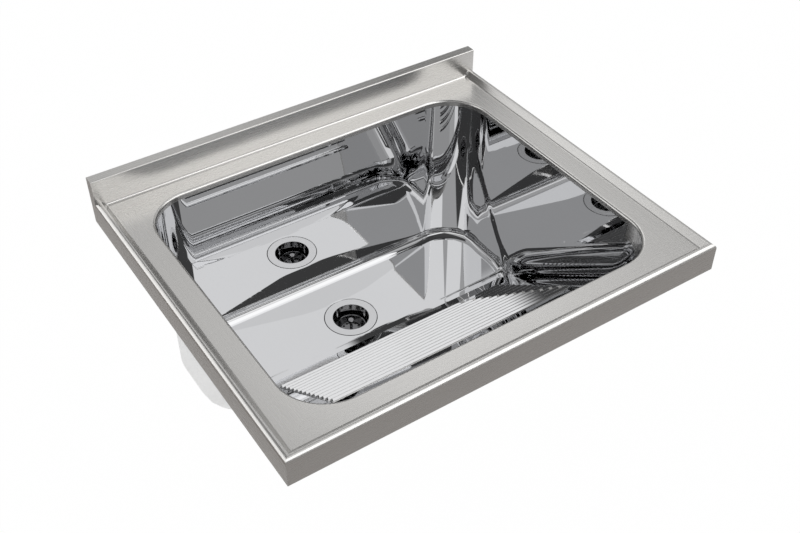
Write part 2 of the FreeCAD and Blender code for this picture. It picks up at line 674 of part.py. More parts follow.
def lugged(body, radius, low, height):
    """Grip lugs round a hand-tightened ring nut."""
    lug = new_sketch(body, "XY_Plane", z=low)
    rounded_box(lug, "%s - dims.lug_reach" % radius, "%s + dims.lug_reach" % radius, "-dims.lug_width / 2",
                "dims.lug_width / 2")
    ring_of(body, pad(body, lug, height), "dims.lug_count")


def build_nuts():
    inner = "(%s + dims.thread_gap)" % CUP_OUT
    outer = "(%s + dims.lock_nut_width)" % inner
    top = "(%s - dims.under_seal_thick - dims.friction_thick)" % RECESS_UNDER
    low = "(%s - dims.lock_nut_height)" % top
    lock = round_part("lock_ring", [(inner, top), (outer, top), (outer, low), (inner, low)])
    lugged(lock, outer, low, "dims.lock_nut_height")
    keep(lock, "lock_nut")
    inner = "(dims.spigot_radius + dims.thread_gap)"
    outer = "(%s + dims.coupling_wall)" % inner
    top = "(%s + dims.coupling_engage)" % SPIGOT_END
    ledge = "(%s - dims.tail_seal_thick - dims.tail_flange)" % SPIGOT_END
    low = "(%s - dims.coupling_lip)" % ledge
    throat = "(dims.tail_radius + dims.thread_gap)"
    coupling = round_part("coupling_ring", [
        (inner, top), (outer, top), (outer, low), (throat, low), (throat, ledge), (inner, ledge),
    ])
    lugged(coupling, outer, low, "%s - %s" % (top, low))
    keep(coupling, "coupling_nut")


def build_tail_pipe():
    """The outlet pipe: a flange in the coupling nut, a slimmer neck through it, then the plain pipe."""
    top = "(%s - dims.tail_seal_thick)" % SPIGOT_END
    under = "(%s - dims.tail_flange)" % top
    neck_end = "(%s - dims.coupling_lip - dims.tail_step)" % under
    end = "(%s - dims.tail_length)" % under
    bore = "(dims.tail_radius - dims.tail_wall)"
    rim = "(dims.tail_radius + dims.tail_wall)"
    neck = "(dims.tail_radius - dims.tail_neck)"
    keep(round_part("tail", [
        (bore, top), (rim, top), (rim, under), (neck, under), (neck, neck_end),
        ("dims.tail_radius", neck_end),
        ("dims.tail_radius", end), (bore, end),
    ]), "tail_pipe")


# The lift-out basket, pushed home on its seat


STOPPER_LOW = "(-dims.seat_depth + dims.seat_gap)"
STOPPER_TOP = "(%s + dims.stopper_thick)" % STOPPER_LOW
BASKET_RIM = "(%s + dims.basket_height)" % STOPPER_TOP


def build_basket():
    rim = "(dims.cup_radius - dims.basket_gap)"
    cup = round_part("basket", [
        ("dims.post_radius", STOPPER_TOP), ("dims.basket_floor_radius", STOPPER_TOP), (rim, BASKET_RIM),
        ("%s - 2 * dims.basket_wall" % rim, BASKET_RIM),
        ("dims.basket_floor_radius - dims.basket_wall", "%s + dims.basket_wall" % STOPPER_TOP),
        ("dims.post_radius", "%s + dims.basket_wall" % STOPPER_TOP),
    ])
    hole = disc(new_sketch(cup, "XY_Plane", z="0"), "dims.basket_hole", x="dims.basket_hole_ring")
    ring_of(cup, pocket(cup, hole, "dims.cup_depth"), "dims.basket_hole_count")
    keep(cup, "basket_cup")
    neck = "(-dims.knob_top - dims.knob_height)"
    low = "(%s - dims.post_tail)" % STOPPER_LOW
    keep(round_part("post", [
        ("0", neck), ("dims.post_radius", neck), ("dims.post_radius", low), ("0", low),
    ]), "basket_post")
    keep(round_part("knob", [
        ("0", "-dims.knob_top"), ("dims.knob_radius - 1", "-dims.knob_top"),
        ("dims.knob_radius", "-dims.knob_top - 1"),
        ("dims.knob_radius", "-dims.knob_top - dims.knob_height / 2"), ("dims.knob_neck", neck), ("0", neck),
    ]), "basket_knob")
    stopper = "(%s + dims.stopper_lap)" % SPIGOT_IN
    keep(round_part("stopper", [
        ("dims.post_radius", STOPPER_TOP), (stopper, STOPPER_TOP), (stopper, STOPPER_LOW),
        ("dims.post_radius", STOPPER_LOW),
    ]), "stopper_seal")


# Swivel fixing brackets, hung on studs under the deck's side ledges


BRACKET_TOP = "(%s - dims.collar_height - dims.swivel_gap)" % DECK_UNDER
BRACKET_LOW = "(%s - dims.bracket_thick)" % BRACKET_TOP
WASHER_TOP = "(%s - dims.swivel_gap)" % BRACKET_LOW
NUT_TOP = "(%s - dims.washer_thick - dims.stack_gap)" % WASHER_TOP
STUD_X = "(%s - dims.stud_inset)" % HALF_WIDTH
STATIONS = [
    ("front_left", "-" + STUD_X, "-dims.stud_reach", "0"), ("front_right", STUD_X, "-dims.stud_reach", "180"),
    ("rear_left", "-" + STUD_X, "dims.stud_reach", "0"), ("rear_right", STUD_X, "dims.stud_reach", "180"),
]


def hex_nut(name, flats, height, bore, x, y, z):
    prism = doc.addObject("Part::Prism", name + "_hex")
    prism.Polygon = 6
    prism.setExpression("Circumradius", "%s / sqrt(3)" % flats)
    prism.setExpression("Height", height)
    place(prism, x, y, z)
    return combine("Cut", name, prism, cylinder(name + "_bore", bore, height, x, y, z))


def build_brackets():
    studs, washers, nuts = [], [], []
    for name, x, y, turned_by in STATIONS:
        stud = turned("stud_" + name, [
            ("0", DECK_UNDER), ("dims.collar_radius", DECK_UNDER),
            ("dims.collar_radius", "%s - dims.collar_height" % DECK_UNDER),
            ("dims.stud_radius", "%s - dims.collar_height" % DECK_UNDER),
            ("dims.stud_radius", "%s - dims.stud_length" % DECK_UNDER),
            ("0", "%s - dims.stud_length" % DECK_UNDER),
        ])
        studs.append(place(stud, x, y))
        bore = "(dims.stud_radius + dims.swivel_gap)"
        washer = turned("washer_" + name, [
            (bore, WASHER_TOP), ("dims.washer_radius", WASHER_TOP),
            ("dims.washer_radius", "%s - dims.washer_thick" % WASHER_TOP),
            (bore, "%s - dims.washer_thick" % WASHER_TOP),
        ])
        washers.append(place(washer, x, y))
        nuts.append(hex_nut(
            "nut_" + name, "dims.nut_flats", "dims.nut_height", "dims.stud_radius + dims.thread_gap", x, y,
            "%s - dims.nut_height" % NUT_TOP,
        ))
        body = new_body("bracket_body_" + name)
        reach, under = "(-dims.bracket_arm)", "(%s - dims.bracket_leg)" % BRACKET_TOP
        profile = polygon(new_sketch(body, "XZ_Plane"), [
            ("dims.bracket_tail", BRACKET_TOP), (reach, BRACKET_TOP), (reach, under),
            ("%s + dims.bracket_thick" % reach, under), ("%s + dims.bracket_thick" % reach, BRACKET_LOW),
            ("dims.bracket_tail", BRACKET_LOW),
        ])
        pad(body, profile, "dims.bracket_width", both_ways=True)
        pocket(body, disc(new_sketch(body, "XY_Plane", z=BRACKET_TOP), bore), "dims.bracket_thick")
        screw = new_sketch(body, "YZ_Plane", z=reach)
        outline = disc(screw, "dims.bracket_hole", y="-dims.bracket_hole_drop")
        pocket(body, outline, "dims.bracket_thick", upward=True)
        keep(place(body, x, y, angle=turned_by), "bracket_" + name)
    group("fixing_studs", studs)
    group("fixing_washers", washers)
    group("fixing_nuts", nuts)


# Earth terminal inside the back apron, and the pads glued under the bowl


def build_earth_terminal():
    x = "(%s - dims.tag_inset)" % HALF_WIDTH
    face = "(%s - dims.sheet)" % HALF_DEPTH
    tip = "(%s - dims.tag_reach)" % face
    middle = "(%s - dims.tag_reach / 2)" % face
    shelf = "dims.tag_height"
    body = new_body("tag_body")
    profile = polygon(new_sketch(body, "YZ_Plane"), [
        (tip, shelf), (face, shelf), (face, "%s - dims.tag_foot" % shelf),
        ("%s - dims.tag_thick" % face, "%s - dims.tag_foot" % shelf),
        ("%s - dims.tag_thick" % face, "%s - dims.tag_thick" % shelf), (tip, "%s - dims.tag_thick" % shelf),
    ])
    pad(body, profile, "dims.tag_width", both_ways=True)
    bore = "(dims.tag_screw_radius + dims.tag_screw_gap)"
    pocket(body, disc(new_sketch(body, "XY_Plane", z=shelf), bore, y=middle), "dims.tag_thick")
    keep(place(body, x), "earth_tag")
    screw = turned("tag_screw", [
        ("0", "dims.tag_head_height"), ("dims.tag_head_radius", "dims.tag_head_height"),
        ("dims.tag_head_radius", "0"),
        ("dims.tag_screw_radius", "0"), ("dims.tag_screw_radius", "-dims.tag_screw_length"),
        ("0", "-dims.tag_screw_length"),
    ])
    keep(place(screw, x, middle, shelf), "earth_screw")
    nut = hex_nut(
        "tag_nut", "dims.tag_nut_flats", "dims.tag_nut_height", bore, x, middle,
        "%s - dims.tag_thick - dims.tag_nut_height" % shelf,
    )
    keep(nut, "earth_nut")


def build_pads():
    outside = "(%s + dims.sheet + dims.glue_gap)" % BOWL_BACK
    top = "(%s - dims.pad_back_drop)" % JOIN
    half = "(dims.pad_width / 2)"
    keep(block(
        "pad_back", ("-" + half, outside, "%s - dims.pad_back_height" % top),
        (half, "%s + dims.pad_thick" % outside, top),
    ), "sound_pad_back")
    under = "(-dims.sheet - dims.glue_gap)"
    keep(board_plate(
        "pad_board", "%s - dims.pad_thick" % under, under, "dims.pad_board_start",
        "dims.pad_board_start + dims.pad_board_length", "dims.pad_width",
    ), "sound_pad_board")


build_top_sheet()
build_upstand_ends()
build_bowl()
build_washboard()
build_waste_body()
build_seals()
build_nuts()
build_tail_pipe()
build_basket()
build_brackets()
build_earth_terminal()
build_pads()
doc.recompute()

for obj in doc.Objects:
    if "Invalid" in obj.State or "Error" in obj.State:
        raise RuntimeError("%s failed: %s" % (obj.Label, obj.State))
for obj in parts:
    if obj.Shape.isNull() or not obj.Shape.isValid():
        raise RuntimeError("%s has no valid shape" % obj.Label)

os.makedirs("parts", exist_ok=True)
for obj in parts:
    obj.Shape.exportStep(os.path.join("parts", obj.Label + ".step"))
    print("%-20s solids %d volume %.1f" % (obj.Label, len(obj.Shape.Solids), obj.Shape.Volume))
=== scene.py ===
import json
import math

import bmesh
import bpy
import numpy as np
from mathutils import Matrix, Vector

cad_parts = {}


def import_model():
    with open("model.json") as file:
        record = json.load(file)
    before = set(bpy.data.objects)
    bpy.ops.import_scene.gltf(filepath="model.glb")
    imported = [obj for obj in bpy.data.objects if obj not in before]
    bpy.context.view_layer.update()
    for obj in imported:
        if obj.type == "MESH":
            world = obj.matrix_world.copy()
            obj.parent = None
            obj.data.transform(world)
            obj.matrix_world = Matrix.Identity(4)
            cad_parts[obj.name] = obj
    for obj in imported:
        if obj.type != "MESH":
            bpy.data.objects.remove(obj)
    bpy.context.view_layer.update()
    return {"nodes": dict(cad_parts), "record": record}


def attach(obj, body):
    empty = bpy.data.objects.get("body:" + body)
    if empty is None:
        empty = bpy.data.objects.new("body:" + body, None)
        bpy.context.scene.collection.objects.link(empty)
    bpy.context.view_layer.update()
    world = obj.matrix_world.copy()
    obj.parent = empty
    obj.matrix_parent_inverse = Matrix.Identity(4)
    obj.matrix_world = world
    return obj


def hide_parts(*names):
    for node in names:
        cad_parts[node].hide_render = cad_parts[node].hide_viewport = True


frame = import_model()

NODES = frame["nodes"]

# Sizes in millimetres, in the shared frame; pieces are scaled to metres when their mesh is made
MM = 0.001
HALF_WIDTH, HALF_DEPTH, UPSTAND_FRONT = 350.0, 300.0, 282.0
WALL, FRONT, BACK, CORNER = 295.5, -249.5, 245.5, 72.0
JOIN, FLOOR, SHEET = 25.5, -261.5, 1.0
RISER, RISER_TOP, BOARD_HEAD = 51.5, -224.5, -3.4
SLOPE = math.atan2(BOARD_HEAD - RISER_TOP, RISER - FRONT)
TROUGH_CORNER, TROUGH_SPREAD = 62.0, 6.0
FLOOR_COVE, BOARD_COVE, RISER_FOOT, BEND = 16.0, 40.0, 5.0, 16.0
# The cove along the side walls goes from the board's radius to the floor's over this stretch
COVE_FROM, COVE_TO = 30.0, 120.0
# The bend between slope and trough tightens as it runs into the trough's corners
BEND_TIGHTER, BEND_FROM, BEND_TO = 9.0, RISER + 4.5, RISER + 28.5
# Behind those corners the slope's plane turns steeply down
SLOPE_END, SLOPE_END_TURN = RISER + 36.5, math.radians(60)
COLLAR_LOW, COLLAR_BACK = -1.0, -177.5
BOARD_HALF, BOARD_START, BOARD_END = 245.0, 12.0, 343.6
RIB_COUNT, RIB_FIRST, RIB_PITCH, RIB_HALF = 13, 63.5, 16.4, 213.0
RIB_HEIGHT, RIB_ROUND, RIB_LEAN, RIB_STEEP = 3.3, 2.1, math.radians(34), 2.0
RIB_DROP, RIB_TURN = RIB_ROUND * (1 - math.cos(RIB_LEAN)), RIB_ROUND * math.sin(RIB_LEAN)
RIB_FOOT = 2 * RIB_TURN + (RIB_HEIGHT - 2 * RIB_DROP) / math.tan(RIB_LEAN)
FALL, FALL_START, CREASE = 5.0, 46.0, 0.10
DRAIN_Y, HOLE_RADIUS = 141.5, 34.0
RECESS_RADIUS, RECESS_DEPTH, RECESS_ROLL = 45.8, 3.0, 0.9
# Cell of the first mesh over the bowl, and how close to a level an edge that was cut there lies
GRID, ON_LEVEL = 5.3, 0.01

# The floor's height in metres, and the room's brightness for surfaces that are not mirrors
STAGE_LEVEL = -0.4015
PLAIN = 0.9


# Node helpers


class Graph:
    """Adds nodes to a material or a world and links them."""

    def __init__(self, owner, output):
        owner.use_nodes = True
        self.owner = owner
        self.tree = owner.node_tree
        self.tree.nodes.clear()
        self.output = self.tree.nodes.new("ShaderNode" + output)

    def node(self, kind, inputs=None, **settings):
        made = self.tree.nodes.new("ShaderNode" + kind)
        for key, setting in settings.items():
            setattr(made, key, setting)
        for key, value in (inputs or {}).items():
            if isinstance(value, bpy.types.NodeSocket):
                self.tree.links.new(value, made.inputs[key])
            else:
                made.inputs[key].default_value = value
        return made

    def math(self, operation, first, second=0.0):
        return self.node("Math", {0: first, 1: second}, operation=operation).outputs[0]

    def blend(self, share, first, second):
        return self.node("Mix", {0: share, 2: first, 3: second}, data_type="FLOAT").outputs[0]

    def tint(self, share, first, second):
        return self.node("Mix", {0: share, 6: first, 7: second}, data_type="RGBA").outputs[2]

    def span(self, value, low, high, to_low=0.0, to_high=1.0, smooth=False):
        kind = "SMOOTHSTEP" if smooth else "LINEAR"
        ends = {"Value": value, "From Min": low, "From Max": high, "To Min": to_low, "To Max": to_high}
        return self.node("MapRange", ends, interpolation_type=kind).outputs[0]

    def finish(self, shader):
        self.tree.links.new(shader, self.output.inputs["Surface"])
        return self.owner


def new_material(name):
    return Graph(bpy.data.materials.new(name), "OutputMaterial")


def grey(level):
    return (level, level, level, 1.0)


def shaded(colour, factor):
    return tuple(min(1.0, factor * c) for c in colour) + (1.0,)


# Materials


def drawn_out(graph, coordinates, scale, detail=4.0, roughness=0.6):
    """Noise drawn out along one axis, as brushing is."""
    mapped = graph.node("Mapping", {"Vector": coordinates, "Scale": scale}).outputs[0]
    noise = {"Vector": mapped, "Scale": 1.0, "Detail": detail, "Roughness": roughness}
    return graph.node("TexNoise", noise).outputs[0]


def brushed(name, colour, rough):
    """Brushed sheet: the grain follows each side and turns at the mitres."""
    graph = new_material(name)
    coordinates = graph.node("TexCoord").outputs["Object"]
    axes = graph.node("SeparateXYZ", {0: coordinates}).outputs
    fine, long = 1500.0, 8.0
    along_x = drawn_out(graph, coordinates, (long, fine, fine))
    along_y = drawn_out(graph, coordinates, (fine, long, fine))
    side_gap = graph.math("SUBTRACT", HALF_WIDTH * MM, graph.math("ABSOLUTE", axes["X"]))
    front_gap = graph.math("ADD", axes["Y"], HALF_DEPTH * MM)
    back_gap = graph.math("SUBTRACT", UPSTAND_FRONT * MM, axes["Y"])
    side = graph.math("LESS_THAN", side_gap, graph.math("MINIMUM", front_gap, back_gap))
    streak = graph.blend(side, along_x, along_y)
    cloud = graph.node("TexNoise", {"Vector": coordinates, "Scale": 9.0, "Detail": 3.0}).outputs[0]
    tone = graph.blend(0.25, streak, cloud)
    bump = graph.node("Bump", {"Height": streak, "Strength": 0.08, "Distance": 0.0002}).outputs[0]
    shader = graph.node("BsdfPrincipled", {
        "Base Color": graph.tint(tone, shaded(colour, 0.95), shaded(colour, 1.05)), "Metallic": 1.0,
        "Roughness": graph.span(streak, 0.2, 0.8, rough - 0.05, rough + 0.05), "Normal": bump,
    })
    return graph.finish(shader.outputs[0])


def polished(name, colour, rough):
    """Mirror polish, with faint swirls of the polishing wheel."""
    graph = new_material(name)
    coordinates = graph.node("TexCoord").outputs["Object"]
    cloud = graph.node("TexNoise", {"Vector": coordinates, "Scale": 6.0, "Detail": 3.0}).outputs[0]
    swirl = drawn_out(graph, coordinates, (260.0, 40.0, 260.0), 3.0)
    wear = graph.blend(0.35, cloud, swirl)
    bump = graph.node("Bump", {"Height": swirl, "Strength": 0.004, "Distance": 0.0001}).outputs[0]
    shader = graph.node("BsdfPrincipled", {
        "Base Color": graph.tint(wear, shaded(colour, 0.98), shaded(colour, 1.02)), "Metallic": 1.0,
        "Roughness": graph.span(wear, 0.3, 0.7, max(0.0, rough - 0.015), rough + 0.015), "Normal": bump,
    })
    return graph.finish(shader.outputs[0])


def moulded(name, colour, rough, metallic=0.0, scale=900.0):
    """Fine speckle for rubber, plastic, card, paint and plated steel."""
    graph = new_material(name)
    coordinates = graph.node("TexCoord").outputs["Object"]
    speckle = graph.node("TexNoise", {"Vector": coordinates, "Scale": scale, "Detail": 3.0}).outputs[0]
    bump = graph.node("Bump", {"Height": speckle, "Strength": 0.2, "Distance": 0.0002}).outputs[0]
    shader = graph.node("BsdfPrincipled", {
        "Base Color": graph.tint(speckle, shaded(colour, 0.88), shaded(colour, 1.08)), "Metallic": metallic,
        "Roughness": graph.span(speckle, 0.3, 0.7, rough - 0.08, rough + 0.08), "Normal": bump,
    })
    return graph.finish(shader.outputs[0])


SLOTS = {
    "deck_steel": brushed("deck_brushed", (0.59, 0.582, 0.568), 0.28),
    "bowl_steel": polished("bowl_mirror", (0.80, 0.803, 0.812), 0.02),
    "waste_steel": polished("waste_polished", (0.74, 0.742, 0.75), 0.08),
    "fixing_steel": moulded("zinc", (0.60, 0.61, 0.62), 0.40, 1.0),
    "terminal_brass": moulded("brass", (0.72, 0.56, 0.28), 0.30, 1.0),
    "seal_rubber": moulded("rubber", (0.03, 0.03, 0.03), 0.70),
    "pad_rubber": moulded("pad", (0.07, 0.07, 0.08), 0.80),
    "ring_card": moulded("fibre", (0.50, 0.40, 0.28), 0.85),
    "nut_plastic": moulded("plastic", (0.82, 0.82, 0.80), 0.45),
}
COAT = moulded("underside_coat", (0.93, 0.93, 0.925), 0.75, scale=500.0)
# Painted shade: the drain's basket cup and post are polished steel painted dark, and its knob a darker grey,
# for the deep cup's shade
BASKET_PAINTED_SHADE = polished("basket_painted_shade", (0.22, 0.22, 0.225), 0.12)
KNOB_PAINTED_SHADE = polished("knob_painted_shade", (0.38, 0.38, 0.388), 0.22)
OWN_PAINTED_SHADE = {"basket_cup": BASKET_PAINTED_SHADE, "basket_post": BASKET_PAINTED_SHADE, "basket_knob": KNOB_PAINTED_SHADE}


def paint_nodes():
    """Every node gets its slot's material, or its own where it has one; the drain basket's own are steel
    painted dark as painted shade.
    """
    for entry in frame["record"]["subparts"]:
        node = NODES[entry["node"]]
        node.data.materials.clear()
        node.data.materials.append(OWN_PAINTED_SHADE.get(entry["node"], SLOTS[entry["material_slot"]]))


# The drawn bowl, as a distance field with true round bends


def plan_gap(x, y, half, front, back, radius):
    """Distance to an upright wall that follows a rounded rectangle, negative inside."""
    over_x = np.abs(x) - (half - radius)
    over_y = np.abs(y - (front + back) / 2) - ((back - front) / 2 - radius)
    outside = np.hypot(np.maximum(over_x, 0), np.maximum(over_y, 0))
    return np.minimum(np.maximum(over_x, over_y), 0) + outside - radius


def meet(first, second, radius):
    """Where two spaces overlap, with a cove of that radius between their walls."""
    cove = np.hypot(np.maximum(radius + first, 0), np.maximum(radius + second, 0))
    return np.minimum(-radius, np.maximum(first, second)) + cove


def join(first, second, radius):
    """Two spaces together, with a bend of that radius where their walls cross."""
    bend = np.hypot(np.maximum(radius - first, 0), np.maximum(radius - second, 0))
    return np.maximum(radius, np.minimum(first, second)) - bend


def ease(value, start, end):
    """Goes from 0 to 1 between two values, with a soft start and end."""
    share = np.clip((value - start) / (end - start), 0, 1)
    return share * share * (3 - 2 * share)


def soft_max(first, second, soft):
    """The larger of two values, rounded off where they cross."""
    share = np.clip(0.5 + (first - second) / (2 * soft), 0, 1)
    return second + (first - second) * share + soft * share * (1 - share)


def floor_rise(x, y):
    """The trough's floor rises from the drain in four flat panels with soft creases."""
    away = y - DRAIN_Y
    ends = (np.abs(x) - FALL_START) / (WALL - FALL_START)
    front = (-away - FALL_START) / (DRAIN_Y - RISER - FALL_START)
    back = (away - FALL_START) / (BACK - DRAIN_Y - FALL_START)
    panels = soft_max(soft_max(front, back, CREASE), ends, CREASE)
    return FALL * soft_max(panels, 0.0 * x, CREASE)


def bowl_gap(points):
    """Distance to the bowl's inner face, negative in the bowl."""
    x, y, z = points[:, 0], points[:, 1], points[:, 2]
    walls = plan_gap(x, y, WALL, FRONT, BACK, CORNER)
    slope = (RISER_TOP + (RISER - y) * math.tan(SLOPE) - z) * math.cos(SLOPE)
    pit_walls = plan_gap(x, y, WALL + TROUGH_SPREAD, RISER, BACK + CORNER, TROUGH_CORNER)
    pit = meet(pit_walls, FLOOR + floor_rise(x, y) - z, RISER_FOOT)
    end_z = RISER_TOP + (RISER - SLOPE_END) * math.tan(SLOPE)
    slope_end = (y - SLOPE_END) * math.sin(SLOPE_END_TURN) - (z - end_z) * math.cos(SLOPE_END_TURN)
    bend = BEND - BEND_TIGHTER * ease(y, BEND_FROM, BEND_TO)
    ground = join(np.maximum(slope, slope_end), pit, bend)
    cove = BOARD_COVE + (FLOOR_COVE - BOARD_COVE) * ease(y, COVE_FROM, COVE_TO)
    return meet(walls, ground, cove)


def inward(points, gap=bowl_gap, reach=0.05):
    """Unit vectors from the sheet into the bowl."""
    lean = np.empty_like(points)
    for axis in range(3):
        shift = np.zeros(3)
        shift[axis] = reach
        lean[:, axis] = gap(points - shift) - gap(points + shift)
    return lean / np.linalg.norm(lean, axis=1, keepdims=True)


def skin(gap, low, high, step):
    """Quads over the zero face of a distance field, one corner to each cell that the face crosses."""
    ticks = [np.arange(a, b + step / 2, step) for a, b in zip(low, high)]
    field = np.empty([len(t) for t in ticks])
    across, along = np.meshgrid(ticks[0], ticks[1], indexing="ij")
    for k, height in enumerate(ticks[2]):
        layer = np.stack([across.ravel(), along.ravel(), np.full(across.size, height)], axis=1)
        field[:, :, k] = gap(layer).reshape(across.shape)
    cells = np.array(field.shape) - 1
    total = np.zeros((int(np.prod(cells)), 3))
    count = np.zeros(int(np.prod(cells)))
    quads = []
    for axis in range(3):
        first = np.moveaxis(field, axis, 0)[:-1]
        second = np.moveaxis(field, axis, 0)[1:]
        hits = np.argwhere((first < 0) != (second < 0))
        start = first[tuple(hits.T)]
        share = start / (start - second[tuple(hits.T)])
        index = np.insert(hits[:, 1:], axis, hits[:, 0], axis=1)
        place = index.astype(float)
        place[:, axis] += share
        others = [a for a in range(3) if a != axis]
        ring, inside = [], np.ones(len(index), bool)
        for shift in ((0, 0), (-1, 0), (-1, -1), (0, -1)):
            cell = index.copy()
            cell[:, others[0]] += shift[0]
            cell[:, others[1]] += shift[1]
            good = np.all((cell >= 0) & (cell < cells), axis=1)
            flat = np.ravel_multi_index(tuple(np.clip(cell, 0, cells - 1).T), cells)
            np.add.at(total, flat[good], place[good])
            np.add.at(count, flat[good], 1)
            ring.append(flat)
            inside &= good
        turn = (start < 0) == (axis != 1)
        loops = np.stack(ring, axis=1)
        loops[turn] = loops[turn][:, ::-1]
        quads.append(loops[inside])
    quads = np.concatenate(quads)
    used = np.unique(quads)
    number = np.full(len(count), -1)
    number[used] = np.arange(len(used))
    corners = total[used] / count[used][:, None] * step + np.array([t[0] for t in ticks])
    return corners, number[quads]


def settle(points, rounds=4):
    """Moves points onto the bowl's true face."""
    for _ in range(rounds):
        points = points + inward(points) * bowl_gap(points)[:, None]
    return points


def slope_run(points):
    """Distance up the washboard's slope from the bend, and height above it."""
    along = (RISER - points[:, 1]) * math.cos(SLOPE) + (points[:, 2] - RISER_TOP) * math.sin(SLOPE)
    above = (points[:, 1] - RISER) * math.sin(SLOPE) + (points[:, 2] - RISER_TOP) * math.cos(SLOPE)
    return along, above


def slope_point(across, along, above):
    """The place at a distance across, up and above the washboard's slope."""
    y = RISER - along * math.cos(SLOPE) + above * math.sin(SLOPE)
    z = RISER_TOP + along * math.sin(SLOPE) + above * math.cos(SLOPE)
    return np.stack([across, y, z], axis=-1)


def cut_flat(solid, place, normal, keep_near):
    """Splits the faces near a plane along it."""
    faces = [f for f in solid.faces if keep_near(f.calc_center_median())]
    geometry = set(faces)
    for face in faces:
        geometry.update(face.verts)
        geometry.update(face.edges)
    bmesh.ops.bisect_plane(solid, geom=list(geometry), plane_co=place, plane_no=normal, dist=0.001)


def bowl_skin():
    """The bowl's inner face, split along the collar's lower edge and round the washboard's panel."""
    # The rim and the collar's ends lie half a cell off the grid, so that whole rows of faces end there
    top = JOIN + GRID / 2
    sides, ahead, behind, deep = 57.5 * GRID, 15.5 * GRID, 81.5 * GRID, 56 * GRID
    low = (-sides, COLLAR_BACK - ahead, top - deep)
    high = (sides, COLLAR_BACK + behind, top)
    corners, quads = skin(bowl_gap, low, high, GRID)
    level = corners[:, 2].copy()
    corners = settle(corners)
    rim = level > JOIN - ON_LEVEL
    corners[rim, 2] = JOIN
    mesh = bpy.data.meshes.new("bowl_skin")
    mesh.from_pydata(corners.tolist(), [], quads.tolist())
    solid = bmesh.new()
    solid.from_mesh(mesh)
    bpy.data.meshes.remove(mesh)
    up_slope = Vector((0.0, -math.cos(SLOPE), math.sin(SLOPE)))
    foot = Vector((0.0, RISER, RISER_TOP))
    height_limit, side_margin = 1.0, 8.0

    def on_slope(centre):
        along, above = slope_run(np.array([centre]))
        return abs(above[0]) < height_limit and abs(centre.x) < BOARD_HALF + side_margin

    def near_collar(centre):
        return centre.y < COLLAR_BACK + GRID and abs(centre.z - COLLAR_LOW) < 2 * GRID

    for x in (-BOARD_HALF, BOARD_HALF):
        cut_flat(solid, Vector((x, 0, 0)), Vector((1, 0, 0)), on_slope)
    for run in (BOARD_START, BOARD_END):
        cut_flat(solid, foot + up_slope * run, up_slope, on_slope)
    cut_flat(solid, Vector((0, 0, COLLAR_LOW)), Vector((0, 0, 1)), near_collar)
    return solid


def refine_bends(solid, passes=4):
    """Halves the edges that cross a bend until the sheet turns only a little along each."""
    bend_turn, floor_turn, floor_tilt, shortest = 3.6, 0.85, 9.0, 0.5
    bend_limit, floor_limit = math.cos(math.radians(bend_turn)), math.cos(math.radians(floor_turn))
    flat = math.cos(math.radians(floor_tilt))
    for _ in range(passes):
        solid.verts.index_update()
        normals = inward(np.array([v.co[:] for v in solid.verts]))
        ends = np.array([[v.index for v in e.verts] for e in solid.edges])
        turn = np.sum(normals[ends[:, 0]] * normals[ends[:, 1]], axis=1)
        on_floor = np.all(normals[ends][:, :, 2] > flat, axis=1)
        length = np.array([e.calc_length() for e in solid.edges])
        sharp = (turn < np.where(on_floor, floor_limit, bend_limit)) & (length > shortest)
        chosen = [e for e, split in zip(solid.edges, sharp) if split]
        old = len(solid.verts)
        bmesh.ops.subdivide_edges(solid, edges=chosen, cuts=1, use_grid_fill=True)
        solid.verts.ensure_lookup_table()
        fresh = [solid.verts[k] for k in range(old, len(solid.verts))]
        for vert, place in zip(fresh, settle(np.array([v.co[:] for v in fresh]))):
            on_line = min(abs(vert.co.z - JOIN), abs(vert.co.z - COLLAR_LOW)) < ON_LEVEL
            vert.co = (place[0], place[1], vert.co.z) if on_line else place


def split_lots(solid):
    """The faces of the bowl and of the collar, without the washboard's panel and the drain."""
    panel_limit, drain_margin, floor_margin = 0.2, 4.0, 4.0
    bowl, collar = [], []
    for face in solid.faces:
        centre = face.calc_center_median()
        along, above = slope_run(np.array([centre]))
        in_window = abs(centre.x) < BOARD_HALF and BOARD_START < along[0] < BOARD_END
        in_window = in_window and abs(above[0]) < panel_limit
        near_drain = math.hypot(centre.x, centre.y - DRAIN_Y) < RECESS_RADIUS + drain_margin
        near_drain = near_drain and centre.z < FLOOR + floor_margin
        if centre.y < COLLAR_BACK and centre.z > COLLAR_LOW:
            collar.append(face)
        elif not in_window and not near_drain:
            bowl.append(face)
    return bowl, collar


def arrays(faces):
    """Corner places and corner numbers of a lot of faces."""
    verts = sorted({v for f in faces for v in f.verts}, key=lambda v: v.index)
    number = {v: k for k, v in enumerate(verts)}
    return np.array([v.co[:] for v in verts]), [[number[v] for v in f.verts] for f in faces]


def open_edges(faces):
    """Edges that only one face has, in that face's direction."""
    seen = {}
    for face in faces:
        for a, b in zip(face, face[1:] + face[:1]):
            seen[(a, b)] = True
    return [(a, b) for a, b in seen if (b, a) not in seen]


